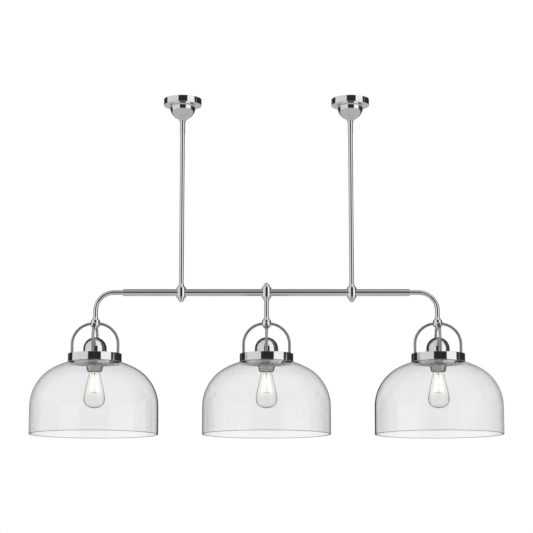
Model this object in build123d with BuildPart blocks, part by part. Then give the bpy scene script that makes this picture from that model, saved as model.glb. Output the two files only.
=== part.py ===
from build123d import *
import os
from math import acos, asin, atan2, cos, degrees, radians, sin, sqrt

os.makedirs("parts", exist_ok=True)

# Linear island pendant: three clear glass domes on one crossbar that hangs from two down-rods.
# Millimetres, +Z up. The origin is on the ceiling plane, midway between the two canopies, and
# +X runs along the crossbar. Heights named *_z are measured from the ceiling plane.

# ---------------------------------------------------------------- layout
rod_spacing = 470.0  # between the two down-rods
pendant_spacing = 470.0  # between neighbouring shades
bar_drop = 548.0  # ceiling plane to the crossbar's axis
hub_drop = 69.0  # crossbar's axis to the top of each hub
arm_drop = 17.3  # hub's top to the axis of its arms
ring_drop = 170.0  # crossbar's axis to the top plate of each ring cap

# ---------------------------------------------------------------- clearances
tube_fit = 0.05  # radial, a tube or stud seated in its socket
seat_gap = 0.3  # between pieces that only rest near each other
contact = 0.05  # between pieces pressed together

# ---------------------------------------------------------------- canopies and swivels
canopy_r = 52.7
canopy_height = 18.0
canopy_wall = 1.2
canopy_edge_r = 0.4
strap_width = 20.0
strap_t = 3.0
strap_ear_t = 2.5
strap_ear_height = 12.0
ceiling_bolt_spacing = 88.9
ceiling_bolt_hole_r = 2.4
grub_r = 2.0
grub_recess_r = 1.1
grub_recess_depth = 1.5
grub_past_ear = 1.5
swivel_drop = 22.8  # ceiling plane to the centre of each swivel ball
swing = 15.0  # degrees that the ball tilts each way
ball_r = 9.0
ball_fit = 0.08  # radial, ball in its seat
seat_r = 11.5
seat_lip_r = 7.2  # opening under the ball
seat_lip_t = 1.2
seat_head_t = 4.8  # metal over the ball
nipple_r = 4.85  # threaded stems, 1/8 pipe size
wire_bore_r = 3.4
locknut_flats = 14.0
locknut_t = 3.2
dome_r = 35.3
dome_wall = 1.2
dome_gap = 0.8  # between the dome and the canopy's opening
clamp_nut_r = 8.0
clamp_nut_t = 4.0
collar_top_r = 11.65
collar_foot_r = 8.6
collar_foot_drop = 5.0  # collar's foot below the dome's lowest point
coupler_r = 7.25
coupler_length = 38.0
coupler_round = 3.5
nipple_in_coupler = 12.0
rod_in_coupler = 15.0

# ---------------------------------------------------------------- tubes and crossbar
tube_r = 6.35
tube_wall = 1.0
bar_r = 9.525
bar_wall = 1.2
bar_end_inset = 75.5  # from each outer shade's axis in to the crossbar's end
bushing_length = 18.0
elbow_in_bar = 30.0
elbow_bend_r = 50.0

# ---------------------------------------------------------------- cross fittings and finials
fitting_r = 13.0
fitting_half_height = 15.5
fitting_round = 2.8
collar_r = 9.0  # tapered collar on the tube's side, where it meets the barrel
collar_tip_r = 7.1
collar_height = 8.5
collar_round = 0.8
fitting_shelf = 2.6  # metal between the bar's bore and the tube's end
finial_r = 8.75
finial_crown_r = 0.4
finial_height = 11.5
finial_stud_r = 3.0

# ---------------------------------------------------------------- hubs and arms
hub_collar_height = 7.0
hub_r = 12.5
hub_height = 24.0
hub_round = 2.2
hub_foot_r = 3.4
hub_foot_height = 8.5
hub_tube_depth = 12.0
arm_r = 3.75
arm_bore_r = 2.0
arm_circle_r = 63.0  # arms' legs from the shade's axis
arm_start_r = 6.0  # inner end of each arm, inside the hub
arm_nut_flats = 10.0
arm_nut_t = 3.5

# ---------------------------------------------------------------- ring caps and socket covers
ring_margin = 10.3  # ring cap's edge outside the arms' circle
ring_height = 22.0
ring_wall = 1.5
ring_plate_t = 2.0
ring_edge_r = 0.4
cover_r = 32.0
cover_skirt = 14.0
cover_wall = 1.2
cover_boss_r = 7.5
cover_boss_length = 9.0

# ---------------------------------------------------------------- sockets and shades
socket_r = 17.0
socket_top = 10.0  # socket's crown above the ring cap's plate
socket_crown_r = 8.0
socket_length = 46.0  # ring cap's top to the socket's mouth
socket_mouth_r = 15.6
socket_mouth_depth = 8.0
shoulder_r = 27.0
shell_wall = 0.8
shell_gap = 0.3  # between the lamp's base and the socket's shell
shell_head = 8.5  # ring cap's top to the top of the socket's bore
glass_r = 175.0
glass_crown_r = 244.0  # shallow ball of the dome's crown
glass_bend_r = 120.0  # from the crown round to the straight wall
glass_skirt = 75.4  # straight wall's height
glass_t = 2.5
glass_rim_r = 1.1
glass_hole_r = 22.0
gasket_t = 1.5
cup_flange_r = 24.5
cup_flange_t = 3.0
cup_neck_r = 21.5
cup_bell_r = 23.4
cup_bell_round = 1.0
cup_foot_round = 0.5
cup_foot_r = 20.0
cup_bell_drop = 33.0  # ring cap's top to the cup's widest line
cup_length = 47.5  # ring cap's top to the cup's foot

# ---------------------------------------------------------------- lamps
lamp_base_r = 13.0
lamp_base_top = 10.5  # ring cap's top to the lamp's contact
lamp_base_length = 28.0
lamp_tip_r = 4.5
lamp_tip_height = 1.8
lamp_cone_height = 3.6
lamp_base_wall = 0.8
lamp_glass_wall = 0.8
lamp_glass_fit = 0.15  # between the glass and the base that grips it
lamp_glass_depth = 9.3  # glass inside the base
lamp_shoulder_r = 13.6
lamp_neck_r = 14.2
lamp_neck_drop = 13.6  # base's foot to the neck
lamp_waist_r = 19.2
lamp_waist_height = 76.85  # over the lamp's foot, as are the next two
lamp_flank_r = 24.8
lamp_flank_height = 43.5
lamp_r = 29.0
lamp_belly_height = 23.2
lamp_length = 137.5
filament_r = 0.9
filament_top_r = 6.0
filament_foot_r = 13.0
filament_length = 48.0
filament_top_drop = 57.0  # ring cap's top to the filament's upper ends
filament_count = 6
stem_r = 1.6
stem_flare_r = 6.0
spoke_r = 0.6

# ---------------------------------------------------------------- wiring
trunk_r = 2.6
bundle_r = 3.0
lead_r = 1.5
lead_bend_r = 4.0
lead_turn_drop = 5.0  # below the arms' ends
supply_lead_r = 2.6

# ---------------------------------------------------------------- worked out from the values above
bar_z = -bar_drop
hub_z = bar_z - hub_drop
arm_z = hub_z - arm_drop
ring_z = bar_z - ring_drop
swivel_z = -swivel_drop
canopy_bore_r = canopy_r - canopy_wall
opening_r = dome_r + dome_gap
pan_lip_angle = degrees(asin((swivel_drop - canopy_height + canopy_wall) / dome_r))
dome_rim_angle = pan_lip_angle + swing  # so that the tilted dome still fills the opening
strap_half = sqrt((canopy_bore_r - seat_gap) ** 2 - (strap_width / 2) ** 2)
ear_mid_z = -strap_t - strap_ear_height / 2
dome_foot_z = swivel_z - dome_r
collar_foot_z = dome_foot_z - collar_foot_drop
coupler_foot_z = collar_foot_z - coupler_length
rod_top_z = coupler_foot_z + rod_in_coupler
nipple_foot_z = collar_foot_z - nipple_in_coupler
bar_bore_r = bar_r + tube_fit
socket_bore_r = tube_r + tube_fit
tube_bore_r = tube_r - tube_wall
bar_inner_r = bar_r - bar_wall
bar_half = pendant_spacing - bar_end_inset
tube_end = bar_bore_r + fitting_shelf  # a tube's end from the bar's axis
hub_tube_z = hub_z - hub_tube_depth
arm_bend_r = arm_circle_r - arm_start_r
plate_foot_z = ring_z - ring_plate_t
arm_foot_z = plate_foot_z - contact - arm_nut_t
ring_r = arm_circle_r + ring_margin
ring_bore_r = ring_r - ring_wall
glass_crown_z = ring_z - ring_height - seat_gap - sqrt(glass_crown_r**2 - ring_bore_r**2)  # its centre
glass_bend_in = glass_r - glass_bend_r  # the bend's centre from the shade's axis
glass_bend_up = sqrt((glass_crown_r - glass_bend_r) ** 2 - glass_bend_in**2)  # and over the crown's centre
shell_r = lamp_base_r + shell_gap + shell_wall
cover_inner_r = cover_r - cover_wall
boss_top_z = ring_z + cover_skirt + sqrt(cover_inner_r**2 - cover_boss_r**2)

rod_places = {"left": -rod_spacing / 2, "right": rod_spacing / 2}
pendant_places = {"left": -pendant_spacing, "centre": 0.0, "right": pendant_spacing}
four_ways = (0, 90, 180, 270)


def glass_outer_z(radius):
    return glass_crown_z + sqrt(glass_crown_r**2 - radius**2)


def glass_inner_z(radius):
    return glass_crown_z + sqrt((glass_crown_r - glass_t) ** 2 - radius**2)


shoulder_foot_z = glass_outer_z(glass_hole_r) + gasket_t + contact
cup_top_z = glass_inner_z(cup_flange_r) - gasket_t - contact


def save(piece, name):
    piece.part.label = name
    export_step(piece.part, f"parts/{name}.step")


def vertical(x):
    return Axis((x, 0, 0), (0, 0, 1))


def upright(x, z=0.0):
    """The plane through a vertical axis at x, with its own origin at height z."""
    return Plane(origin=(x, 0, z), x_dir=(1, 0, 0), z_dir=(0, -1, 0))


def level(x, z, y=0.0):
    return Plane(origin=(x, y, z), x_dir=(1, 0, 0), z_dir=(0, 0, 1))


def turn(x, z, outline, mode=Mode.ADD):
    """Revolve an outline about the vertical axis at x.

    Each point is a radius, a height over z and, where the corner is rounded, its rounding.
    """
    corners = [(point[0], point[1]) for point in outline]
    rounds = [point[2] if len(point) == 3 else 0 for point in outline]
    with BuildSketch(upright(x, z)) as profile:
        with BuildLine():
            FilletPolyline(*corners, radius=rounds, close=True)
        make_face()
    revolve(profile.sketch, axis=vertical(x), mode=mode)


def post(x, low_z, high_z, radius, mode=Mode.ADD):
    """A round bar, or a drilled hole, along the vertical axis at x."""
    with BuildSketch(level(x, low_z)) as section:
        Circle(radius)
    extrude(section.sketch, amount=high_z - low_z, mode=mode)


def rod_between(start, end, radius):
    """A straight round bar from one point to another."""
    with BuildSketch(Plane(origin=start, z_dir=end - start)) as section:
        Circle(radius)
    extrude(section.sketch, amount=(end - start).length)


def follow(path, radius, mode=Mode.ADD):
    """Sweep a round section along a path."""
    with BuildSketch(Plane(origin=path @ 0, z_dir=path % 0)) as section:
        Circle(radius)
    sweep(section.sketch, path=path, mode=mode)


# ================================================================ ceiling side
def mounting_strap(x):
    with BuildPart() as strap:
        with BuildSketch(level(x, -strap_t)):
            Rectangle(2 * strap_half, strap_width)
            with GridLocations(ceiling_bolt_spacing, 0, 2, 1):
                Circle(ceiling_bolt_hole_r, mode=Mode.SUBTRACT)
            Circle(nipple_r + tube_fit, mode=Mode.SUBTRACT)
        extrude(amount=strap_t)
        with BuildSketch(level(x, -strap_t)):
            with GridLocations(2 * strap_half - strap_ear_t, 0, 2, 1):
                Rectangle(strap_ear_t, strap_width)
        extrude(amount=-strap_ear_height)
        with BuildSketch(Plane(origin=(x, 0, ear_mid_z), z_dir=(1, 0, 0))):
            Circle(grub_r + tube_fit)
        extrude(amount=strap_half, both=True, mode=Mode.SUBTRACT)
    return strap


def canopy_pan(x):
    outline = (
        (canopy_bore_r, 0),
        (canopy_r, 0),
        (canopy_r, -canopy_height, canopy_edge_r),
        (opening_r, -canopy_height),
        (opening_r, -canopy_height + canopy_wall),
        (canopy_bore_r, -canopy_height + canopy_wall),
    )
    with BuildPart() as pan:
        turn(x, 0, outline)
        with BuildSketch(Plane(origin=(x, 0, ear_mid_z), z_dir=(1, 0, 0))):
            Circle(grub_r + tube_fit)
        extrude(amount=canopy_r, both=True, mode=Mode.SUBTRACT)
    return pan


def swivel_seat(x):
    """Cup that carries the ball, with a threaded stem up through the strap."""
    head_z = swivel_z + ball_r + seat_head_t
    foot_z = swivel_z - sqrt((ball_r + ball_fit) ** 2 - seat_lip_r**2) - seat_lip_t
    with BuildPart() as seat:
        post(x, foot_z, head_z, seat_r)
        post(x, head_z, 0, nipple_r)
        with Locations((x, 0, swivel_z)):
            Sphere(ball_r + ball_fit, mode=Mode.SUBTRACT)
        post(x, foot_z, swivel_z, seat_lip_r, mode=Mode.SUBTRACT)
        post(x, swivel_z, 0, wire_bore_r, mode=Mode.SUBTRACT)
    return seat


for side, x in rod_places.items():
    save(mounting_strap(x), f"mounting_strap_{side}")
    save(canopy_pan(x), f"canopy_{side}")
    save(swivel_seat(x), f"swivel_seat_{side}")

with BuildPart() as locknuts:
    for x in rod_places.values():
        with BuildSketch(level(x, -strap_t - contact)) as hexagon:
            RegularPolygon(locknut_flats / 2, 6, major_radius=False)
            Circle(nipple_r + tube_fit, mode=Mode.SUBTRACT)
        extrude(hexagon.sketch, amount=-locknut_t)
save(locknuts, "seat_locknuts")

grub_length = canopy_r - canopy_edge_r / 2 - strap_half + strap_ear_t + grub_past_ear
with BuildPart() as grub_screws:
    for x in rod_places.values():
        for way in (-1, 1):
            outer_end = x + way * (canopy_r - canopy_edge_r / 2)
            with BuildSketch(Plane(origin=(outer_end, 0, ear_mid_z), z_dir=(-way, 0, 0))) as shank:
                Circle(grub_r)
            extrude(shank.sketch, amount=grub_length)
            with BuildSketch(Plane(origin=(outer_end, 0, ear_mid_z), z_dir=(-way, 0, 0))) as key:
                RegularPolygon(grub_recess_r, 6)
            extrude(key.sketch, amount=grub_recess_depth, mode=Mode.SUBTRACT)
save(grub_screws, "canopy_screws")

with BuildPart() as supply_lead:
    post(rod_places["left"], swivel_z + ball_r + seat_gap, 0, supply_lead_r)
save(supply_lead, "supply_lead")


# ================================================================ domes, swivel balls, couplers
def canopy_dome(x):
    with BuildPart() as dome:
        with BuildSketch(upright(x, swivel_z)):
            with BuildLine():
                outside = CenterArc((0, 0), dome_r, -90, 90 + dome_rim_angle)
                inside = CenterArc((0, 0), dome_r - dome_wall, -90, 90 + dome_rim_angle)
                Line(outside @ 0, inside @ 0)
                Line(outside @ 1, inside @ 1)
            make_face()
        revolve(axis=vertical(x))
        post(x, dome_foot_z, swivel_z, nipple_r + tube_fit, mode=Mode.SUBTRACT)
    return dome


def swivel_ball(x):
    """Hollow ball, its threaded stem and the flange that clamps the dome to the collar."""
    dome_inner_r = dome_r - dome_wall
    clamp_z = swivel_z - sqrt(dome_inner_r**2 - clamp_nut_r**2) + contact
    with BuildPart() as ball:
        with Locations((x, 0, swivel_z)):
            Sphere(ball_r)
        post(x, nipple_foot_z, swivel_z, nipple_r)
        post(x, clamp_z, clamp_z + clamp_nut_t, clamp_nut_r)
        post(x, nipple_foot_z, swivel_z + ball_r, wire_bore_r, mode=Mode.SUBTRACT)
    return ball


def coupler(x):
    with BuildPart() as sleeve:
        with BuildSketch(level(x, coupler_foot_z)):
            Circle(coupler_r)
        extrude(amount=coupler_length - contact)
        fillet(sleeve.edges().sort_by(Axis.Z)[0], coupler_round)
        post(x, nipple_foot_z - seat_gap, collar_foot_z, nipple_r + tube_fit, mode=Mode.SUBTRACT)
        post(x, coupler_foot_z, rod_top_z, socket_bore_r, mode=Mode.SUBTRACT)
        post(x, coupler_foot_z, collar_foot_z, wire_bore_r, mode=Mode.SUBTRACT)
    return sleeve


for side, x in rod_places.items():
    save(canopy_dome(x), f"canopy_dome_{side}")
    save(swivel_ball(x), f"swivel_ball_{side}")
    save(coupler(x), f"coupler_{side}")

collar_top_z = swivel_z - sqrt(dome_r**2 - collar_top_r**2)
with BuildPart() as dome_collars:
    for x in rod_places.values():
        collar_outline = (
            (nipple_r + tube_fit, collar_top_z),
            (collar_top_r, collar_top_z),
            (collar_foot_r, collar_foot_z),
            (nipple_r + tube_fit, collar_foot_z),
        )
        turn(x, 0, collar_outline)
        with Locations((x, 0, swivel_z)):
            Sphere(dome_r + contact, mode=Mode.SUBTRACT)
save(dome_collars, "dome_collars")


# ================================================================ rods, crossbar and cross fittings
def cross_fitting(x, tube_way):
    """Turned barrel that the crossbar runs through; tube_way is 1 where its tube goes up."""
    collar_end = fitting_half_height + collar_height
    outline = (
        (0, -tube_way * fitting_half_height),
        (fitting_r, -tube_way * fitting_half_height, fitting_round),
        (fitting_r, tube_way * fitting_half_height, fitting_round),
        (collar_r, tube_way * fitting_half_height, collar_round),
        (collar_tip_r, tube_way * collar_end),
        (0, tube_way * collar_end),
    )
    with BuildPart() as fitting:
        turn(x, bar_z, outline)
        with BuildSketch(Plane(origin=(x, 0, bar_z), z_dir=(1, 0, 0))):
            Circle(bar_bore_r)
        extrude(amount=fitting_r, both=True, mode=Mode.SUBTRACT)
        with BuildSketch(level(x, bar_z + tube_way * tube_end)):
            Circle(socket_bore_r)
        extrude(amount=tube_way * (collar_end - tube_end), mode=Mode.SUBTRACT)
        with BuildSketch(level(x, bar_z)) as wire_hole:
            Circle(wire_bore_r)
        extrude(wire_hole.sketch, amount=tube_way * tube_end, mode=Mode.SUBTRACT)
        with BuildSketch(level(x, bar_z)) as stud_hole:
            Circle(finial_stud_r + tube_fit)
        extrude(stud_hole.sketch, amount=-tube_way * fitting_half_height, mode=Mode.SUBTRACT)
    return fitting


def tube(x, low_z, high_z):
    with BuildPart() as pipe:
        post(x, low_z, high_z, tube_r)
        post(x, low_z, high_z, tube_bore_r, mode=Mode.SUBTRACT)
    return pipe


for side, x in rod_places.items():
    save(tube(x, bar_z + tube_end, rod_top_z - contact), f"down_rod_{side}")
    save(cross_fitting(x, 1), f"rod_fitting_{side}")
save(cross_fitting(0, -1), "centre_fitting")
save(tube(0, hub_tube_z, bar_z - tube_end), "centre_stem")

with BuildPart() as finials:
    finial_places = [(x, -1) for x in rod_places.values()] + [(0, 1)]
    for x, way in finial_places:
        base_z = bar_z + way * (fitting_half_height + contact)
        stud_length = fitting_half_height - bar_r
        outline = (
            (0, -way * stud_length),
            (finial_stud_r, -way * stud_length),
            (finial_stud_r, 0),
            (finial_r, 0),
            (finial_r, way * finial_height, finial_r - finial_crown_r),
            (finial_crown_r, way * finial_height),
            (0, way * finial_height),
        )
        turn(x, base_z, outline)
save(finials, "bar_finials")

with BuildPart() as crossbar:
    with BuildSketch(Plane(origin=(-bar_half, 0, bar_z), z_dir=(1, 0, 0))):
        Circle(bar_r)
        Circle(bar_inner_r, mode=Mode.SUBTRACT)
    extrude(amount=2 * bar_half)
    post(rod_places["left"], bar_z, bar_z + bar_r, wire_bore_r, mode=Mode.SUBTRACT)
    post(0, bar_z - bar_r, bar_z, wire_bore_r, mode=Mode.SUBTRACT)
save(crossbar, "crossbar")

with BuildPart() as bushings:
    for way in (-1, 1):
        with BuildSketch(Plane(origin=(way * bar_half, 0, bar_z), z_dir=(-way, 0, 0))) as ring:
            Circle(bar_inner_r - tube_fit)
            Circle(socket_bore_r, mode=Mode.SUBTRACT)
        extrude(ring.sketch, amount=bushing_length)
save(bushings, "bar_bushings")


def elbow(way):
    with BuildLine(Plane.XZ) as run:
        FilletPolyline(
            (way * (bar_half - elbow_in_bar), bar_z),
            (way * pendant_spacing, bar_z),
            (way * pendant_spacing, hub_tube_z),
            radius=elbow_bend_r,
        )
    with BuildPart() as bend:
        follow(run.wire(), tube_r)
        follow(run.wire(), tube_bore_r, mode=Mode.SUBTRACT)
    return bend


save(elbow(-1), "elbow_left")
save(elbow(1), "elbow_right")


# ================================================================ hubs, arms and ring caps
def arm_run(x, angle):
    """Centre line of one arm: out of the hub, round its bend and down through the plate."""
    out = Vector(cos(radians(angle)), sin(radians(angle)), 0)
    start = Vector(x, 0, arm_z) + out * arm_start_r
    corner = Vector(x, 0, arm_z) + out * arm_circle_r
    bend_end = corner - Vector(0, 0, arm_bend_r)
    foot = Vector(corner.X, corner.Y, arm_foot_z)
    with BuildLine() as run:
        bend = TangentArc(start, bend_end, tangent=out)
        Line(bend @ 1, foot)
    return run.wire()


def hub(x):
    outline = (
        (0, 0),
        (collar_tip_r, 0),
        (collar_r, -hub_collar_height, collar_round),
        (hub_r, -hub_collar_height, hub_round),
        (hub_r, -hub_height, hub_round),
        (hub_foot_r, -hub_height - hub_foot_height, hub_foot_r / 2),
        (0, -hub_height - hub_foot_height),
    )
    with BuildPart() as body:
        turn(x, hub_z, outline)
        post(x, hub_tube_z, hub_z, socket_bore_r, mode=Mode.SUBTRACT)
        post(x, arm_z - bundle_r, hub_z, wire_bore_r, mode=Mode.SUBTRACT)
        for angle in four_ways:
            follow(arm_run(x, angle), arm_r + tube_fit, mode=Mode.SUBTRACT)
        with BuildSketch(Plane(origin=(x, 0, arm_z), z_dir=(0, 1, 0))) as lead_hole:
            Circle(arm_bore_r)
        extrude(lead_hole.sketch, amount=arm_start_r + arm_bore_r, mode=Mode.SUBTRACT)
    return body


def arms(x):
    with BuildPart() as four_arms:
        for angle in four_ways:
            follow(arm_run(x, angle), arm_r)
            follow(arm_run(x, angle), arm_bore_r, mode=Mode.SUBTRACT)
    return four_arms


def ring_cap(x):
    outline = (
        (socket_r + seat_gap, 0),
        (ring_r, 0, ring_edge_r),
        (ring_r, -ring_height, ring_edge_r),
        (ring_bore_r, -ring_height, ring_edge_r),
        (ring_bore_r, -ring_plate_t),
        (socket_r + seat_gap, -ring_plate_t),
    )
    with BuildPart() as cap:
        turn(x, ring_z, outline)
        with BuildSketch(level(x, plate_foot_z)) as arm_holes:
            with PolarLocations(arm_circle_r, len(four_ways)):
                Circle(arm_r + tube_fit)
        extrude(arm_holes.sketch, amount=ring_plate_t, mode=Mode.SUBTRACT)
    return cap


def socket_cover(x):
    with BuildPart() as cover:
        with BuildSketch(upright(x, ring_z + contact)):
            with BuildLine():
                outside = CenterArc((0, cover_skirt), cover_r, 0, 90)
                inside = CenterArc((0, cover_skirt), cover_inner_r, 0, 90)
                Line(outside @ 1, inside @ 1)
                Polyline(outside @ 0, (cover_r, 0), (cover_inner_r, 0), inside @ 0)
            make_face()
        revolve(axis=vertical(x))
        post(x, boss_top_z - cover_boss_length, boss_top_z + cover_wall, cover_boss_r)
        post(
            x,
            boss_top_z - cover_boss_length,
            boss_top_z,
            nipple_r + tube_fit,
            mode=Mode.SUBTRACT,
        )
    return cover


for name, x in pendant_places.items():
    save(hub(x), f"hub_{name}")
    save(arms(x), f"arms_{name}")
    save(ring_cap(x), f"ring_cap_{name}")
    save(socket_cover(x), f"socket_cover_{name}")

with BuildPart() as arm_nuts:
    for x in pendant_places.values():
        with BuildSketch(level(x, plate_foot_z - contact)) as hexagons:
            with PolarLocations(arm_circle_r, len(four_ways)):
                RegularPolygon(arm_nut_flats / 2, 6, major_radius=False)
                Circle(arm_r + tube_fit, mode=Mode.SUBTRACT)
        extrude(hexagons.sketch, amount=-arm_nut_t)
save(arm_nuts, "arm_nuts")

# ================================================================ sockets, shades and their clamps
with BuildPart() as sockets:
    for x in pendant_places.values():
        socket_outline = (
            (0, ring_z + socket_top),
            (socket_crown_r, ring_z + socket_top),
            (socket_r, ring_z),
            (socket_r, plate_foot_z - contact),
            (shoulder_r, plate_foot_z - contact),
            (shoulder_r, shoulder_foot_z),
            (socket_r, shoulder_foot_z),
            (socket_r, ring_z - socket_length),
            (socket_mouth_r, ring_z - socket_length),
            (socket_mouth_r, ring_z - socket_length + socket_mouth_depth),
            (shell_r + contact, ring_z - socket_length + socket_mouth_depth),
            (shell_r + contact, ring_z - shell_head),
            (0, ring_z - shell_head),
        )
        turn(x, 0, socket_outline)
        post(x, ring_z + socket_top, boss_top_z - seat_gap, nipple_r)
save(sockets, "socket_bodies")

with BuildPart() as shells:
    for x in pendant_places.values():
        shell_outline = (
            (lamp_tip_r + shell_gap, -shell_head - contact),
            (shell_r, -shell_head - contact),
            (shell_r, -socket_length + socket_mouth_depth),
            (shell_r - shell_wall, -socket_length + socket_mouth_depth),
            (shell_r - shell_wall, -shell_head - contact - shell_wall),
            (lamp_tip_r + shell_gap, -shell_head - contact - shell_wall),
        )
        turn(x, ring_z, shell_outline)
save(shells, "screw_shells")

with BuildPart() as gaskets:
    for x in pendant_places.values():
        upper_gasket = (
            (glass_hole_r, shoulder_foot_z - contact / 2),
            (shoulder_r, shoulder_foot_z - contact / 2),
            (shoulder_r, shoulder_foot_z - gasket_t),
            (glass_hole_r, shoulder_foot_z - gasket_t),
        )
        lower_gasket = (
            (socket_r + seat_gap, cup_top_z + gasket_t),
            (cup_flange_r, cup_top_z + gasket_t),
            (cup_flange_r, cup_top_z + contact / 2),
            (socket_r + seat_gap, cup_top_z + contact / 2),
        )
        turn(x, 0, upper_gasket)
        turn(x, 0, lower_gasket)
save(gaskets, "shade_gaskets")


def retaining_cup(x):
    bore_r = socket_r + tube_fit
    flange_z = cup_top_z - ring_z
    outline = (
        (bore_r, flange_z),
        (cup_flange_r, flange_z),
        (cup_flange_r, flange_z - cup_flange_t, cup_flange_t / 3),
        (cup_neck_r, flange_z - cup_flange_t - (cup_flange_r - cup_neck_r)),
        (cup_neck_r, -cup_bell_drop + cup_flange_t),
        (cup_bell_r, -cup_bell_drop, cup_bell_round),
        (cup_foot_r, -cup_length, cup_foot_round),
        (bore_r, -cup_length),
    )
    with BuildPart() as cup:
        turn(x, ring_z, outline)
    return cup


def glass_shade(x):
    """Blown dome: a shallow crown with a hole in it, bent round into a straight wall."""
    bend_z = glass_crown_z + glass_bend_up
    bend_end = degrees(atan2(glass_bend_up, glass_bend_in))
    inner_r = glass_r - glass_t
    with BuildPart() as shade:
        with BuildSketch(upright(x, bend_z)) as wall:
            with BuildLine():
                for inset in (0, glass_t):
                    crown_r = glass_crown_r - inset
                    crown_arc = degrees(acos(glass_hole_r / crown_r)) - bend_end
                    CenterArc((0, -glass_bend_up), crown_r, bend_end, crown_arc)
                    CenterArc((glass_bend_in, 0), glass_bend_r - inset, 0, bend_end)
                    Line((glass_r - inset, 0), (glass_r - inset, -glass_skirt))
                Line((inner_r, -glass_skirt), (glass_r, -glass_skirt))
                Line(
                    (glass_hole_r, glass_inner_z(glass_hole_r) - bend_z),
                    (glass_hole_r, glass_outer_z(glass_hole_r) - bend_z),
                )
            make_face()
            fillet(wall.vertices().group_by(Axis.Y)[0], glass_rim_r)
        revolve(axis=vertical(x))
    return shade


for name, x in pendant_places.items():
    save(retaining_cup(x), f"retaining_cup_{name}")
    save(glass_shade(x), f"glass_shade_{name}")


# ================================================================ lamps
lamp_neck_z = ring_z - lamp_base_top - lamp_base_length
lamp_foot_z = ring_z - lamp_base_top - lamp_length
lamp_crown_z = ring_z - lamp_base_top - lamp_tip_height - lamp_cone_height


def lamp_base(x):
    inner_r = lamp_base_r - lamp_base_wall
    outline = (
        (0, ring_z - lamp_base_top),
        (lamp_tip_r, ring_z - lamp_base_top),
        (lamp_tip_r, ring_z - lamp_base_top - lamp_tip_height),
        (lamp_base_r, lamp_crown_z),
        (lamp_base_r, lamp_neck_z),
        (inner_r, lamp_neck_z),
        (inner_r, lamp_crown_z - lamp_base_wall),
        (0, lamp_crown_z - lamp_base_wall),
    )
    with BuildPart() as base:
        turn(x, 0, outline)
    return base


def lamp_wall(inset):
    """Points down the side of the lamp's glass, moved inwards by inset."""
    return [
        (lamp_shoulder_r - inset, lamp_neck_z - inset),
        (lamp_neck_r - inset, lamp_neck_z - lamp_neck_drop),
        (lamp_waist_r - inset, lamp_foot_z + lamp_waist_height),
        (lamp_flank_r - inset, lamp_foot_z + lamp_flank_height),
        (lamp_r - inset, lamp_foot_z + lamp_belly_height),
        (0, lamp_foot_z + inset),
    ]


def lamp_glass(x):
    neck_r = lamp_base_r - lamp_base_wall - lamp_glass_fit
    neck_top_z = lamp_neck_z + lamp_glass_depth
    down = (0, -1)
    inwards = (-1, 0)
    with BuildPart() as bulb:
        with BuildSketch(upright(x)):
            with BuildLine():
                outside = Spline(*lamp_wall(0), tangents=(down, inwards))
                inside = Spline(*lamp_wall(lamp_glass_wall), tangents=(down, inwards))
                Line(outside @ 1, inside @ 1)
                Polyline(
                    outside @ 0,
                    (neck_r, lamp_neck_z - lamp_glass_wall / 2),
                    (neck_r, neck_top_z),
                    (neck_r - lamp_glass_wall, neck_top_z),
                    (neck_r - lamp_glass_wall, lamp_neck_z - lamp_glass_wall),
                    inside @ 0,
                )
            make_face()
        revolve(axis=vertical(x))
    return bulb


def lamp_filament(x):
    """Glass stem from the base, with a cage of straight filaments between two rings of spokes."""
    top_z = ring_z - filament_top_drop
    foot_z = top_z - filament_length
    with BuildPart() as cage:
        post(x, foot_z, lamp_crown_z - lamp_base_wall - contact, stem_r)
        flare_outline = (
            (0, lamp_neck_z),
            (stem_flare_r, lamp_neck_z),
            (stem_r, top_z + stem_flare_r),
            (0, top_z + stem_flare_r),
        )
        turn(x, 0, flare_outline)
        for z, reach in ((top_z, filament_top_r), (foot_z, filament_foot_r)):
            with BuildSketch(level(x, z - spoke_r)) as spider:
                Circle(stem_r + spoke_r)
                with PolarLocations(reach / 2, filament_count):
                    Rectangle(reach, 2 * spoke_r)
            extrude(spider.sketch, amount=2 * spoke_r)
        for number in range(filament_count):
            angle = radians(360 * number / filament_count)
            out = Vector(cos(angle), sin(angle), 0)
            upper = Vector(x, 0, top_z) + out * filament_top_r
            lower = Vector(x, 0, foot_z) + out * filament_foot_r
            rod_between(upper, lower, filament_r)
    return cage


for name, x in pendant_places.items():
    save(lamp_base(x), f"bulb_base_{name}")
    save(lamp_glass(x), f"bulb_glass_{name}")
    save(lamp_filament(x), f"bulb_filament_{name}")

# ================================================================ wiring
lead_turn_z = arm_foot_z - lead_turn_drop
lead_end_z = (plate_foot_z + shoulder_foot_z) / 2
with BuildPart() as wiring:
    with BuildLine(Plane.XZ) as bundle_run:
        FilletPolyline(
            (-pendant_spacing, arm_z),
            (-pendant_spacing, bar_z),
            (pendant_spacing, bar_z),
            (pendant_spacing, arm_z),
            radius=elbow_bend_r,
        )
    follow(bundle_run.wire(), bundle_r)
    post(rod_places["left"], bar_z, swivel_z, trunk_r)
    post(0, arm_z, bar_z, trunk_r)
    for x in pendant_places.values():
        with BuildLine(Plane(origin=(x, 0, 0), x_dir=(0, 1, 0), z_dir=(1, 0, 0))) as lead_run:
            FilletPolyline(
                (0, arm_z),
                (arm_circle_r, arm_z),
                (arm_circle_r, lead_turn_z),
                (shoulder_r + seat_gap, lead_end_z),
                radius=[arm_bend_r, lead_bend_r],
            )
        follow(lead_run.wire(), lead_r)
save(wiring, "internal_wiring")
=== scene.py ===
from math import acos, asin, atan2, cos, pi, radians, sin, sqrt, tan

import bmesh
import bpy
from mathutils import Matrix, Vector


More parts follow.
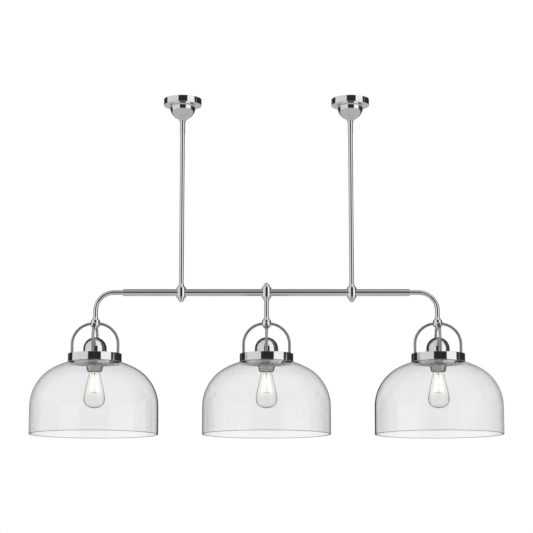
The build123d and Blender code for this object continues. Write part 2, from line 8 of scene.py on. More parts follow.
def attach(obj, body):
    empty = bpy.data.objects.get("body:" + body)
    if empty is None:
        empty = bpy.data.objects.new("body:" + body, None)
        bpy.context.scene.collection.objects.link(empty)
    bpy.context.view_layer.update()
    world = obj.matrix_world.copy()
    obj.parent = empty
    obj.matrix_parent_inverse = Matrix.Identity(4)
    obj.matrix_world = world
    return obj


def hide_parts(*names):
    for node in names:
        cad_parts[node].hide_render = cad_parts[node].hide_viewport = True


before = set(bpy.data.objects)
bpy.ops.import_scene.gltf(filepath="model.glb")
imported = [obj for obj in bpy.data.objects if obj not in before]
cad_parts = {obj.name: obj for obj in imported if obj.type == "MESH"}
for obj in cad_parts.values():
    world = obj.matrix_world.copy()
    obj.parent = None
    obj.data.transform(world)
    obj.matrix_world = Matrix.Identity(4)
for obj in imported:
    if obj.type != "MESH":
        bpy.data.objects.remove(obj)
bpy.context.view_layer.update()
print("frame loaded:", len(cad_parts), "nodes")

# Sizes are millimetres and heights count from the ceiling plane, as in the CAD; mm turns them to metres.
mm = 0.001
rodPlaces = {"left": -235, "right": 235}
shadePlaces = {"left": -470, "centre": 0, "right": 470}
barHeight = -548
plateTop = -718  # top of each ring cap
armWays = ((1, 0), (0, 1), (-1, 0), (0, -1))  # where a shade's four arms go, seen from above
quarterHandle = 0.5523  # curve handle for a quarter circle, as a share of its radius
dropHandle = 8  # curve handle where a bent tube has turned straight down


def linearColour(text):
    channels = [int(text[i:i + 2], 16) / 255 for i in (1, 3, 5)]
    return [c / 12.92 if c <= 0.04045 else ((c + 0.055) / 1.055) ** 2.4 for c in channels] + [1.0]


def addNode(tree, kind, sockets=None, **settings):
    node = tree.nodes.new(kind)
    for name, value in settings.items():
        setattr(node, name, value)
    for name, value in (sockets or {}).items():
        if isinstance(value, bpy.types.NodeSocket):
            tree.links.new(value, node.inputs[name])
        else:
            node.inputs[name].default_value = value
    return node


def noise(tree, place, size, detail, distortion=0.0):
    texture = addNode(tree, "ShaderNodeTexNoise", {
        "Vector": place, "Scale": 1 / (size * mm), "Detail": detail, "Distortion": distortion})
    return texture.outputs["Fac"]


def maths(tree, operation, *values):
    return addNode(tree, "ShaderNodeMath", dict(enumerate(values)), operation=operation).outputs[0]


def spanned(tree, value, low, high, start=0.0, end=1.0):
    return addNode(tree, "ShaderNodeMapRange", {
        "Value": value, "From Min": low, "From Max": high, "To Min": start, "To Max": end}).outputs["Result"]


def blended(tree, factor, under, over):
    return addNode(tree, "ShaderNodeMix", {"Factor": factor, 6: under, 7: over}, data_type="RGBA").outputs[2]


def toned(tree, factor, stops):
    ramp = addNode(tree, "ShaderNodeValToRGB", {"Fac": factor})
    elements = ramp.color_ramp.elements
    while len(elements) < len(stops):
        elements.new(1.0)
    for element, (place, colour) in zip(elements, stops):
        element.position = place
        element.color = linearColour(colour)
    return ramp.outputs["Color"]


def bumped(tree, height, strength, depth):
    return addNode(tree, "ShaderNodeBump", {
        "Height": height, "Strength": strength, "Distance": depth * mm}).outputs["Normal"]


def newMaterial(name):
    material = bpy.data.materials.new(name)
    material.use_nodes = True
    tree = material.node_tree
    tree.nodes.clear()
    return material, tree, addNode(tree, "ShaderNodeTexCoord").outputs["Object"]


def surfaced(tree, sockets):
    shader = addNode(tree, "ShaderNodeBsdfPrincipled", sockets)
    addNode(tree, "ShaderNodeOutputMaterial", {"Surface": shader.outputs[0]})


# Chrome-plated steel and brass, buffed and plated: a mirror with a breath of buffing haze
# and a plating ripple too shallow to see except where a reflected edge passes over it.
def makeChrome(name, colour):
    finish = {
        "clearest": 0.018, "haziest": 0.045, "hazeSize": 34, "dustSize": 0.9,
        "rippleSize": 11, "rippleHeight": 0.0035}
    material, tree, place = newMaterial(name)
    haze = noise(tree, place, finish["hazeSize"], 3.0)
    dust = noise(tree, place, finish["dustSize"], 1.0)
    dulled = maths(tree, "MULTIPLY", haze, dust)
    ripple = noise(tree, place, finish["rippleSize"], 0.0)
    surfaced(tree, {
        "Base Color": linearColour(colour), "Metallic": 1.0,
        "Roughness": spanned(tree, dulled, 0.12, 0.42, finish["clearest"], finish["haziest"]),
        "Normal": bumped(tree, ripple, 0.5, finish["rippleHeight"])})
    return material


# Zinc-plated steel, stamped and tumbled: bluish grey, with blurred highlights and a cloudy spangle.
def makeZinc():
    finish = {
        "pale": "#C3C8CC", "dull": "#9DA3A8", "cloudSize": 6, "grainSize": 0.5, "grainHeight": 0.03,
        "clearest": 0.26, "haziest": 0.46}
    material, tree, place = newMaterial("zincPlatedSteel")
    cloud = noise(tree, place, finish["cloudSize"], 4.0)
    grain = noise(tree, place, finish["grainSize"], 2.0)
    surfaced(tree, {
        "Base Color": toned(tree, cloud, [(0.3, finish["dull"]), (0.7, finish["pale"])]), "Metallic": 1.0,
        "Roughness": spanned(tree, cloud, 0.3, 0.7, finish["haziest"], finish["clearest"]),
        "Normal": bumped(tree, grain, 0.35, finish["grainHeight"])})
    return material


# Clear glass, mouth blown for the shades and machine blown for the lamps: it shows by its edges, where
# a grey is painted in as shade along the outline, and by a painted grey line at the shades' ground rim,
# standing in for the light that runs along the wall.
def makeGlass(name, body, edge, edgeShadeSpan, rim, rimTop, rippleSize, rippleHeight, glow=0.0):
    glass = {"seedSize": 90, "index": 1.52, "aboveRim": 0.8, "belowRim": 0.2}
    lit = {"colour": "#FFF6E4", "rise": (-842, -818), "fade": (-762, -790)}  # where the filament lights it
    material, tree, place = newMaterial(name)
    height = addNode(tree, "ShaderNodeSeparateXYZ", {"Vector": place}).outputs["Z"]
    seed = noise(tree, place, glass["seedSize"], 2.0)
    tone = toned(tree, seed, [(0.3, body[0]), (0.7, body[1])])
    slant = addNode(tree, "ShaderNodeLayerWeight", {"Blend": 0.5}).outputs["Facing"]
    # Painted shade: the grey edge colour is blended in where the wall is seen edge-on.
    edgeShaded = blended(tree, spanned(tree, slant, *edgeShadeSpan), tone, linearColour(edge))
    # Painted shade: a grey line is blended in along the shades' ground rim.
    rimShadeBand = spanned(tree, height, (rimTop + glass["aboveRim"]) * mm, (rimTop - glass["belowRim"]) * mm)
    ripple = noise(tree, place, rippleSize, 1.0)
    sockets = {
        "Base Color": blended(tree, rimShadeBand, edgeShaded, linearColour(rim)), "Roughness": 0.0,
        "IOR": glass["index"], "Transmission Weight": 1.0, "Normal": bumped(tree, ripple, 0.4, rippleHeight)}
    if glow:
        rising = spanned(tree, height, lit["rise"][0] * mm, lit["rise"][1] * mm)
        fading = spanned(tree, height, lit["fade"][0] * mm, lit["fade"][1] * mm)
        sockets["Emission Color"] = linearColour(lit["colour"])
        sockets["Emission Strength"] = maths(tree, "MULTIPLY", maths(tree, "MULTIPLY", rising, fading), glow)
    surfaced(tree, sockets)
    return material


# Brass, pressed from sheet and lacquered or nickel plated: warm, and brighter on the rubbed
# crests of its thread.
def makeBrass(name, rubbed, dull, clearest, haziest, cloudSize=4):
    material, tree, place = newMaterial(name)
    cloud = noise(tree, place, cloudSize, 3.0)
    worn = addNode(tree, "ShaderNodeNewGeometry").outputs["Pointiness"]
    shine = maths(tree, "ADD", spanned(tree, worn, 0.47, 0.55), cloud)
    surfaced(tree, {
        "Base Color": toned(tree, shine, [(0.4, dull), (1.0, rubbed)]), "Metallic": 1.0,
        "Roughness": spanned(tree, shine, 0.4, 1.2, haziest, clearest)})
    return material


# Plastics, rubber and black lamp-base glass, moulded or (the leads' sleeves) extruded: one body
# colour with a faint flow mottle and a fine grain left by the tool.
def makeMoulded(name, colour, mottle, mottleSize, grainSize, grainHeight, roughness, index):
    material, tree, place = newMaterial(name)
    flow = noise(tree, place, mottleSize, 4.0, 0.6)
    grain = noise(tree, place, grainSize, 2.0)
    surfaced(tree, {
        "Base Color": toned(tree, flow, [(0.35, mottle), (0.65, colour)]), "IOR": index,
        "Roughness": spanned(tree, flow, 0.3, 0.7, roughness * 0.85, roughness * 1.15),
        "Normal": bumped(tree, grain, 0.4, grainHeight)})
    return material


# Lit carbon thread, wound in a fine coil: a cream glow that is whitest between its turns.
def makeFilament():
    glow = {"hot": "#FFFDF6", "warm": "#FFF3D6", "coilPitch": 1.1, "strength": 1.1}  # real coils are finer
    material, tree, place = newMaterial("glowingCarbonFilament")
    bands = 2 * pi / 20  # distance between a wave texture's bands where its scale is 1
    coil = addNode(tree, "ShaderNodeTexWave", {
        "Vector": place, "Scale": bands / (glow["coilPitch"] * mm), "Distortion": 0.5}, bands_direction="Z")
    tone = toned(tree, coil.outputs["Fac"], [(0.1, glow["warm"]), (0.8, glow["hot"])])
    surfaced(tree, {
        "Base Color": tone, "Roughness": 0.6, "Emission Color": tone, "Emission Strength": glow["strength"]})
    return material


chrome = makeChrome("chromePlatedSteel", "#F1F2F3")
shadedChrome = makeChrome("chromeWithPaintedShade", "#C2C3C4")  # a darker copy of the same chrome: painted shade on the bent arms and cups
zinc = makeZinc()
# edge and rim are painted shade: a grey outline where the glass is seen edge-on, and a grey line at the
# shades' rim.
shadeGlass = makeGlass(
    "clearSodaLimeGlass", body=("#F6F6F6", "#F9F9F9"), edge="#A6A8A8", edgeShadeSpan=(0.79, 0.86),
    rim="#9A9C9C", rimTop=-936.4, rippleSize=38, rippleHeight=0.05)
lampGlass = makeGlass(
    "lampEnvelopeGlass", body=("#FBFBFB", "#FDFDFD"), edge="#A6A8A8", edgeShadeSpan=(0.62, 0.75),
    rim="#FBFBFB", rimTop=-2000, rippleSize=16, rippleHeight=0.02, glow=0.045)  # a lamp has no open rim
lampBrass = makeBrass("stampedLampBrass", rubbed="#EBCB84", dull="#B98F45", clearest=0.16, haziest=0.34)
shellBrass = makeBrass(
    "nickelPlatedShellBrass", rubbed="#D8CFB8", dull="#A39A82", clearest=0.2, haziest=0.38)
phenolic = makeMoulded(
    "mouldedPhenolic", "#211F1E", mottle="#171615", mottleSize=5, grainSize=0.4, grainHeight=0.02,
    roughness=0.32, index=1.6)
silicone = makeMoulded(
    "translucentSiliconeRubber", "#D9DAD8", mottle="#CFD0CE", mottleSize=4, grainSize=0.6, grainHeight=0.03,
    roughness=0.52, index=1.41)
leadSleeve = makeMoulded(
    "pvcLeadInsulation", "#E4E1DA", mottle="#DAD6CE", mottleSize=7, grainSize=0.5, grainHeight=0.02,
    roughness=0.45, index=1.53)
vitrite = makeMoulded(
    "vitriteInsulator", "#15151A", mottle="#0E0E12", mottleSize=2, grainSize=0.5, grainHeight=0.01,
    roughness=0.12, index=1.55)
carbonGlow = makeFilament()
print("materials made:", len(bpy.data.materials))

nodeFinishes = {
    "mounting_strap": zinc,
    "seat_locknuts": zinc,
    "arm_nuts": zinc,
    "internal_wiring": leadSleeve,
    "supply_lead": leadSleeve,
    "socket_bodies": phenolic,
    "shade_gaskets": silicone,
    "screw_shells": shellBrass,
    "glass_shade": shadeGlass,
    "bulb_glass": lampGlass,
    "bulb_base": lampBrass,
    "bulb_filament": carbonGlow,
}
for nodeName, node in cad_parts.items():
    finish = next((m for start, m in nodeFinishes.items() if nodeName.startswith(start)), chrome)
    node.data.materials.clear()
    node.data.materials.append(finish)


def roundedOutline(corners, steps=6):
    # Each corner is (radius, height) or (radius, height, rounding).
    points = []
    for i, corner in enumerate(corners):
        here = Vector(corner[:2])
        if len(corner) == 2:
            points.append(here)
            continue
        toLast = (Vector(corners[i - 1][:2]) - here).normalized()
        toNext = (Vector(corners[(i + 1) % len(corners)][:2]) - here).normalized()
        half = toLast.angle(toNext) / 2
        centre = here + (toLast + toNext).normalized() * corner[2] / sin(half)
        first = here + toLast * corner[2] / tan(half) - centre
        last = here + toNext * corner[2] / tan(half) - centre
        sweep = first.angle_signed(last)
        for k in range(steps + 1):
            points.append(centre + Matrix.Rotation(-sweep * k / steps, 2) @ first)
    return points


def arcPoints(radius, start, end, steps, out=0, up=0):
    angles = [start + (end - start) * k / steps for k in range(steps + 1)]
    return [(out + radius * cos(a), up + radius * sin(a)) for a in angles]


def shadeSmoothly(thing, sharpest=32):
    for face in thing.data.polygons:
        face.use_smooth = True
    thing.data.set_sharp_from_angle(angle=radians(sharpest))
    weighted = thing.modifiers.new("weighted", "WEIGHTED_NORMAL")
    weighted.keep_sharp = True
    return thing


def meshPiece(name, bm):
    bmesh.ops.recalc_face_normals(bm, faces=bm.faces)
    mesh = bpy.data.meshes.new(name)
    bm.to_mesh(mesh)
    bm.free()
    thing = bpy.data.objects.new(name, mesh)
    bpy.context.collection.objects.link(thing)
    return thing


def addRing(bm, spots):
    return [bm.verts.new(Vector(spot) * mm) for spot in spots]


def joinRings(bm, lower, upper):
    # A ring of one point is a tip, and its faces are triangles.
    count = max(len(lower), len(upper))
    for k in range(count if count > 1 else 0):
        n = (k + 1) % count
        below = [lower[k % len(lower)], lower[n % len(lower)]]
        above = [upper[n % len(upper)], upper[k % len(upper)]]
        bm.faces.new(list(dict.fromkeys(below + above)))


# Spins a closed outline about an upright line at x, or about the crossbar's own line where along is "X".
def turned(name, corners, x=0, z=0, along="Z", around=144):
    bm = bmesh.new()
    rings = []
    for radius, height in roundedOutline(corners):
        spots = []
        for k in range(around if radius > 1e-6 else 1):
            angle = 2 * pi * k / around
            a, b = radius * cos(angle), radius * sin(angle)
            spots.append((a + x, b, height + z) if along == "Z" else (height + x, a, b + z))
        rings.append(addRing(bm, spots))
    for lower, upper in zip(rings, rings[1:] + rings[:1]):
        joinRings(bm, lower, upper)
    return shadeSmoothly(meshPiece(name, bm))


# A solid upright rod or sleeve, with its two edges rounded.
def uprightRod(name, x, size):
    return turned(name, [
        (0, size["top"]), (size["radius"], size["top"], size["topEdge"]),
        (size["radius"], size["foot"], size["footEdge"]), (0, size["foot"])], x, around=96)


# A round rod, tube or wire along a smooth line; each stop is (place, handle before, handle after).
def bentRod(name, stops, radius, fine=48):
    curve = bpy.data.curves.new(name, "CURVE")
    curve.dimensions = "3D"
    curve.bevel_depth = radius * mm
    curve.bevel_resolution = 12
    curve.resolution_u = fine
    curve.use_fill_caps = True
    spline = curve.splines.new("BEZIER")
    spline.bezier_points.add(len(stops) - 1)
    for point, (place, before, after) in zip(spline.bezier_points, stops):
        point.handle_left_type = point.handle_right_type = "FREE"
        point.co = Vector(place) * mm
        point.handle_left = (Vector(place) + Vector(before)) * mm
        point.handle_right = (Vector(place) + Vector(after)) * mm
    thing = bpy.data.objects.new(name, curve)
    bpy.context.collection.objects.link(thing)
    return thing


# A straight wire between two spots.
def straightWire(name, start, end, radius, fine):
    step = (end - start) / 3
    return bentRod(name, [(start, -step, step), (end, -step, step)], radius, fine)


# Rolled screw thread on a round wall: the radius swells and sinks once every pitch.
def threaded(name, x, low, high, root, crest, pitch, around=96, perTurn=14):
    bm = bmesh.new()
    count = int((high - low) / pitch * perTurn)
    rings = []
    for i in range(count + 1):
        height = low + (high - low) * i / count
        fade = min(1, (height - low) / pitch, (high - height) / pitch)
        spots = []
        for k in range(around):
            angle = 2 * pi * k / around
            wave = 0.5 + 0.5 * cos(2 * pi * (height / pitch) - angle)
            radius = root + (crest - root) * wave * max(0, fade)
            spots.append((x + radius * cos(angle), radius * sin(angle), height))
        rings.append(addRing(bm, spots))
    for lower, upper in zip(rings, rings[1:]):
        joinRings(bm, lower, upper)
    return shadeSmoothly(meshPiece(name, bm), sharpest=60)


def hexNut(name, x, y, nut, around=36):
    bm = bmesh.new()
    top, foot = nut["top"], nut["top"] - nut["thick"]
    rings = []
    for height, outer in ((top, False), (top, True), (foot, True), (foot, False)):
        spots = []
        for k in range(around):
            angle = 2 * pi * k / around
            fromFlat = angle % (pi / 3) - pi / 6
            radius = nut["flats"] / 2 / cos(fromFlat) if outer else nut["bore"]
            spots.append((x + radius * cos(angle), y + radius * sin(angle), height))
        rings.append(addRing(bm, spots))
    for lower, upper in zip(rings, rings[1:] + rings[:1]):
        joinRings(bm, lower, upper)
    thing = meshPiece(name, bm)
    chamfer = thing.modifiers.new("chamfer", "BEVEL")
    chamfer.width = nut["chamfer"] * mm
    chamfer.segments = 2
    chamfer.limit_method = "ANGLE"
    chamfer.angle_limit = radians(40)
    return shadeSmoothly(thing)


def dress(thing, material, body, slotName, *nodes):
    thing.data.materials.clear()
    thing.data.materials.append(material)
    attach(thing, body)
    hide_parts(*nodes)


def chromed(thing, body, *nodes):
    dress(thing, chrome, body, "polished_chrome", *nodes)


# Ceiling pans, their half-ball domes, flared collars, round-ended couplers and down-rods
canopy = {
    "radius": 52.7, "height": 18, "wall": 1.2, "opening": 36.1,
    "topEdge": 0.3, "footEdge": 0.7, "lipEdge": 0.45, "innerEdge": 0.4}
dome = {"radius": 35.3, "wall": 1.2, "centre": -22.8, "bore": 4.9, "rim": 24.8}  # rim: degrees above centre
collar = {
    "top": 11.65, "crown": 0.8, "lip": 1, "lipRise": 0.25, "waist": 0.7, "waistRise": 2.6, "waistRound": 3,
    "foot": 8.6, "footHeight": -63.1, "footEdge": 0.35}
coupler = {"radius": 7.25, "top": -63.15, "foot": -101.1, "topEdge": 0.4, "footEdge": 3.5}
rod = {"radius": 6.35, "top": -86.15, "foot": -535.8, "topEdge": 0.3, "footEdge": 0.3}

for side, x in rodPlaces.items():
    bore = canopy["radius"] - canopy["wall"]
    floorInside = canopy["wall"] - canopy["height"]
    pan = turned(f"canopyPan_{side}", [
        (bore, 0, canopy["topEdge"]), (canopy["radius"], 0, canopy["topEdge"]),
        (canopy["radius"], -canopy["height"], canopy["footEdge"]),
        (canopy["opening"], -canopy["height"], canopy["lipEdge"]),
        (canopy["opening"], floorInside, canopy["lipEdge"]),
        (bore, floorInside, canopy["innerEdge"])], x)
    chromed(pan, "ceiling_mount", f"canopy_{side}")

    lowest = asin(dome["bore"] / dome["radius"]) - pi / 2
    outside = arcPoints(dome["radius"], lowest, radians(dome["rim"]), steps=72)
    inside = arcPoints(dome["radius"] - dome["wall"], lowest, radians(dome["rim"]), steps=72)
    halfBall = turned(f"halfBallDome_{side}", outside + inside[::-1], x, dome["centre"])
    chromed(halfBall, "hanging_frame", f"canopy_dome_{side}")

    collarTop = dome["centre"] - sqrt(dome["radius"] ** 2 - collar["top"] ** 2)
    flare = turned(f"flaredCollar_{side}", [
        (0, collarTop + collar["crown"]), (collar["top"] - collar["lip"], collarTop + collar["lipRise"]),
        (collar["top"], collarTop, collar["lipRise"]),
        (collar["foot"] + collar["waist"], collar["footHeight"] + collar["waistRise"], collar["waistRound"]),
        (collar["foot"], collar["footHeight"], collar["footEdge"]), (0, collar["footHeight"])], x)
    chromed(flare, "hanging_frame", "dome_collars")

    chromed(uprightRod(f"rodCoupler_{side}", x, coupler), "hanging_frame", f"coupler_{side}")
    chromed(uprightRod(f"downRod_{side}", x, rod), "hanging_frame", f"down_rod_{side}")
print("canopies, domes and rods made")

# The crossbar with its cross fittings and acorn finials
bar = {"radius": 9.525, "bore": 8.325, "length": 789, "cutEdge": 0.35}
fitting = {
    "radius": 13, "half": 15.5, "round": 2.8,
    "collar": 9, "collarTip": 7.1, "collarHeight": 8.5, "rootEdge": 0.8, "tipEdge": 0.5}
finial = {"radius": 8.75, "height": 11.5, "gap": 0.05}

halfBar = bar["length"] / 2
crossbar = turned("crossbar", [
    (bar["bore"], -halfBar, bar["cutEdge"]), (bar["radius"], -halfBar, bar["cutEdge"]),
    (bar["radius"], halfBar, bar["cutEdge"]), (bar["bore"], halfBar, bar["cutEdge"])],
    z=barHeight, along="X")
chromed(crossbar, "hanging_frame", "crossbar")


def crossFitting(name, x, way):
    # way is 1 where the fitting's tube goes up and -1 where it goes down.
    end, tip = way * fitting["half"], way * (fitting["half"] + fitting["collarHeight"])
    return turned(name, [
        (0, -end), (fitting["radius"], -end, fitting["round"]), (fitting["radius"], end, fitting["round"]),
        (fitting["collar"], end, fitting["rootEdge"]), (fitting["collarTip"], tip, fitting["tipEdge"]),
        (0, tip)], x, barHeight)


def acornFinial(name, x, way, steps=20):
    start = fitting["half"] + finial["gap"]
    outline = [(0, way * start)]
    for k in range(steps):
        a = pi / 2 * k / steps
        outline.append((finial["radius"] * cos(a), way * (start + finial["height"] * sin(a))))
    return turned(name, outline + [(0, way * (start + finial["height"]))], x, barHeight)


for side, x in rodPlaces.items():
    chromed(crossFitting(f"rodFitting_{side}", x, 1), "hanging_frame", f"rod_fitting_{side}")
    chromed(acornFinial(f"acornFinial_{side}", x, -1), "hanging_frame", "bar_finials")
chromed(crossFitting("stemFitting", 0, -1), "hanging_frame", "centre_fitting")
chromed(acornFinial("acornFinial_centre", 0, 1), "hanging_frame", "bar_finials")

# Bent end tubes and the straight centre stem
elbow = {"radius": 6.35, "bend": 50, "start": 364.5, "foot": -629, "barHandle": 15}
stem = {"radius": 6.35, "top": -560.2, "foot": -629, "topEdge": 0.3, "footEdge": 0.3}

for side, way in (("left", -1), ("right", 1)):
    reach = quarterHandle * elbow["bend"]
    turn = way * (shadePlaces["right"] - elbow["bend"])
    end = way * shadePlaces["right"]
    along = way * elbow["barHandle"]
    tube = bentRod(f"bentTube_{side}", [
        ((way * elbow["start"], 0, barHeight), (-way, 0, 0), (along, 0, 0)),
        ((turn, 0, barHeight), (-along, 0, 0), (way * reach, 0, 0)),
        ((end, 0, barHeight - elbow["bend"]), (0, 0, reach), (0, 0, -dropHandle)),
        ((end, 0, elbow["foot"]), (0, 0, dropHandle), (0, 0, -1))], elbow["radius"])
    chromed(tube, "hanging_frame", f"elbow_{side}")
chromed(uprightRod("centreStem", 0, stem), "hanging_frame", "centre_stem")
print("crossbar and stems made")

# Hubs, their four curved arms, the ring caps that the arms carry and the domed socket covers
hub = {
    "top": -617, "collarTip": 7.1, "collar": 9, "collarHeight": 7, "tipEdge": 0.5, "rootEdge": 0.8,
    "radius": 12.5, "height": 24, "round": 2.2, "footRadius": 3.4, "footHeight": 8.5}
arm = {"radius": 3.75, "axis": -634.3, "circle": 63, "start": 6, "foot": -723.5}
ringCap = {
    "radius": 73.3, "height": 22, "wall": 1.5, "plate": 2, "socketHole": 17.3,
    "edge": 0.55, "innerEdge": 0.6, "holeEdge": 0.3}
cover = {"radius": 32, "skirt": 14, "wall": 1.2, "gap": 0.05}

for name, x in shadePlaces.items():
    hubFoot = -hub["height"] - hub["footHeight"]
    body = turned(f"armHub_{name}", [
        (0, 0), (hub["collarTip"], 0, hub["tipEdge"]),
        (hub["collar"], -hub["collarHeight"], hub["rootEdge"]),
        (hub["radius"], -hub["collarHeight"], hub["round"]), (hub["radius"], -hub["height"], hub["round"]),
        (hub["footRadius"], hubFoot, hub["footRadius"] / 2), (0, hubFoot)], x, hub["top"])
    chromed(body, "hanging_frame", f"hub_{name}")

    bend = arm["circle"] - arm["start"]
    reach = quarterHandle * bend
    for number, (dx, dy) in enumerate(armWays, 1):
        near = (x + dx * arm["start"], dy * arm["start"], arm["axis"])
        farX, farY = x + dx * arm["circle"], dy * arm["circle"]
        limb = bentRod(f"curvedArm_{name}_{number}", [
            (near, (-dx, -dy, 0), (dx * reach, dy * reach, 0)),
            ((farX, farY, arm["axis"] - bend), (0, 0, reach), (0, 0, -dropHandle)),
            ((farX, farY, arm["foot"]), (0, 0, dropHandle), (0, 0, -1))], arm["radius"])
        # The arms take the darker copy of the chrome, which is painted shade.
        dress(limb, shadedChrome, "hanging_frame", "polished_chrome", f"arms_{name}")

    bore = ringCap["radius"] - ringCap["wall"]
    ring = turned(f"ringCap_{name}", [
        (ringCap["socketHole"], 0, ringCap["holeEdge"]), (ringCap["radius"], 0, ringCap["edge"]),
        (ringCap["radius"], -ringCap["height"], ringCap["edge"]),
        (bore, -ringCap["height"], ringCap["edge"]),
        (bore, -ringCap["plate"], ringCap["innerEdge"]),
        (ringCap["socketHole"], -ringCap["plate"], ringCap["holeEdge"])], x, plateTop, around=216)
    chromed(ring, "hanging_frame", f"ring_cap_{name}")

    inner = cover["radius"] - cover["wall"]
    shell = [(inner, cover["gap"]), (cover["radius"], cover["gap"])]
    shell += arcPoints(cover["radius"], 0, pi / 2, steps=40, up=cover["skirt"])[:-1]
    shell += [(0, cover["skirt"] + cover["radius"]), (0, cover["skirt"] + inner)]
    shell += arcPoints(inner, 0, pi / 2, steps=40, up=cover["skirt"])[-2::-1]
    chromed(turned(f"socketCover_{name}", shell, x, plateTop), "hanging_frame", f"socket_cover_{name}")
print("hubs, arms and ring caps made")

# Flared cups that clamp the glass, and the blown glass domes
cup = {
    "bore": 17.05, "flange": 24.5, "flangeTop": -16.8, "flangeThick": 3, "neck": 21.5, "taper": 3,
    "bell": 23.4, "bellDrop": 33, "foot": 20, "length": 47.5,
    "rounds": (0.2, 0.4, 1, 1.5, 3, 1, 0.5, 0.4)}  # from the bore's top edge, down the outside, to its foot
shade = {
    "radius": 175, "crown": 244, "bend": 120, "skirt": 75.4, "wall": 2.5, "hole": 22, "bendHeight": -862.361,
    "rim": 1.2, "holeEdge": 0.9}
bendIn = shade["radius"] - shade["bend"]
bendUp = sqrt((shade["crown"] - shade["bend"]) ** 2 - bendIn ** 2)
bendEnd = atan2(bendUp, bendIn)


def domeLine(inset):
    # From the hole's edge over the shallow crown and round the bend, to the top of the straight wall.
    crownRadius = shade["crown"] - inset
    crown = arcPoints(crownRadius, acos(shade["hole"] / crownRadius), bendEnd, steps=40, up=-bendUp)
    return crown[:-1] + arcPoints(shade["bend"] - inset, bendEnd, 0, steps=60, out=bendIn)


for name, x in shadePlaces.items():
    flangeFoot = cup["flangeTop"] - cup["flangeThick"]
    corners = [
        (cup["bore"], cup["flangeTop"]), (cup["flange"], cup["flangeTop"]), (cup["flange"], flangeFoot),
        (cup["neck"], flangeFoot - cup["taper"]), (cup["neck"], cup["taper"] - cup["bellDrop"]),
        (cup["bell"], -cup["bellDrop"]), (cup["foot"], -cup["length"]), (cup["bore"], -cup["length"])]
    outline = [(*corner, rounding) for corner, rounding in zip(corners, cup["rounds"])]
    bell = turned(f"retainingCup_{name}", outline, x, plateTop)
    # The cup takes the darker copy of the chrome, which is painted shade.
    dress(bell, shadedChrome, "hanging_frame", "polished_chrome", f"retaining_cup_{name}")

    outside, inside = domeLine(0), domeLine(shade["wall"])[::-1]
    outside[0] = (*outside[0], shade["holeEdge"])
    inside[-1] = (*inside[-1], shade["holeEdge"])
    rim = [
        (shade["radius"], -shade["skirt"], shade["rim"]),
        (shade["radius"] - shade["wall"], -shade["skirt"], shade["rim"])]
    glass = turned(f"glassDome_{name}", outside + rim + inside, x, shade["bendHeight"], around=240)
    dress(glass, shadeGlass, "hanging_frame", "shade_glass", f"glass_shade_{name}")
print("cups and glass domes made")

# Filament lamps: blown envelope, rolled screw base and the lit cage on its stem
lamp = {
    "contact": -728.5, "neck": -756.5, "foot": -866, "wall": 0.8,
    "baseRadius": 12.95, "threadRoot": 12.3, "pitch": 3.63,
    "seatRadius": 12.1, "seatRise": 6, "seatDrop": 0.4,
    "neckRadius": 13.5, "neckHandle": (0.3, -6),
    "waist": 19.2, "waistRise": 1.85, "waistHandle": (2.6, -13),  # rises are shares of the belly's radius
    "belly": 29, "bellyRise": 0.8, "bellyLift": 1, "bellyHandle": (0, -15), "footHandle": (-17, 0)}
eyelet = {"radius": 4.5, "crown": 3, "height": 1.7, "round": 1, "edge": 0.3}
insulator = {"height": 5.6, "overlap": 0.6, "tip": 5, "tipDrop": 1.5, "edge": 0.5, "tipEdge": 0.6}
cage = {
    "top": -775, "foot": -823, "topRadius": 6, "footRadius": 13, "wires": 6, "thread": 1.0, "support": 0.3,
    "stem": 1.6, "stemFoot": 7, "glassTop": 6, "glassRod": 1.2, "glassFoot": 0.6, "glassRound": 0.5}
press = {  # the flared foot of the cage's stem, in the lamp's neck
    "top": 4, "radius": 6, "rise": 1, "edge": 0.4, "waist": 4.4, "waistDrop": 5, "waistRound": 3,
    "drop": 13, "dropRound": 2}


def bezierPlace(a, b, c, d, t):
    s = 1 - t
    return s ** 3 * a + 3 * s ** 2 * t * b + 3 * s * t * t * c + t ** 3 * d


def envelopeLine(inset, steps=24):
    # Down the lamp's side, from its neck to the middle of its foot. Each knot is (place, handle).
    belly = lamp["foot"] + lamp["bellyRise"] * lamp["belly"]
    knots = [
        ((lamp["neckRadius"] - inset, lamp["neck"] - inset), lamp["neckHandle"]),
        ((lamp["waist"] - inset, belly + lamp["waistRise"] * lamp["belly"]), lamp["waistHandle"]),
        ((lamp["belly"] - inset, belly + lamp["bellyLift"]), lamp["bellyHandle"]),
        ((0, lamp["foot"] + inset), lamp["footHandle"])]
    points = []
    for (a, onward), (b, arriving) in zip(knots, knots[1:]):
        for k in range(steps):
            points.append(tuple(
                bezierPlace(a[i], a[i] + onward[i], b[i] - arriving[i], b[i], k / steps) for i in (0, 1)))
    return points + [knots[-1][0]]


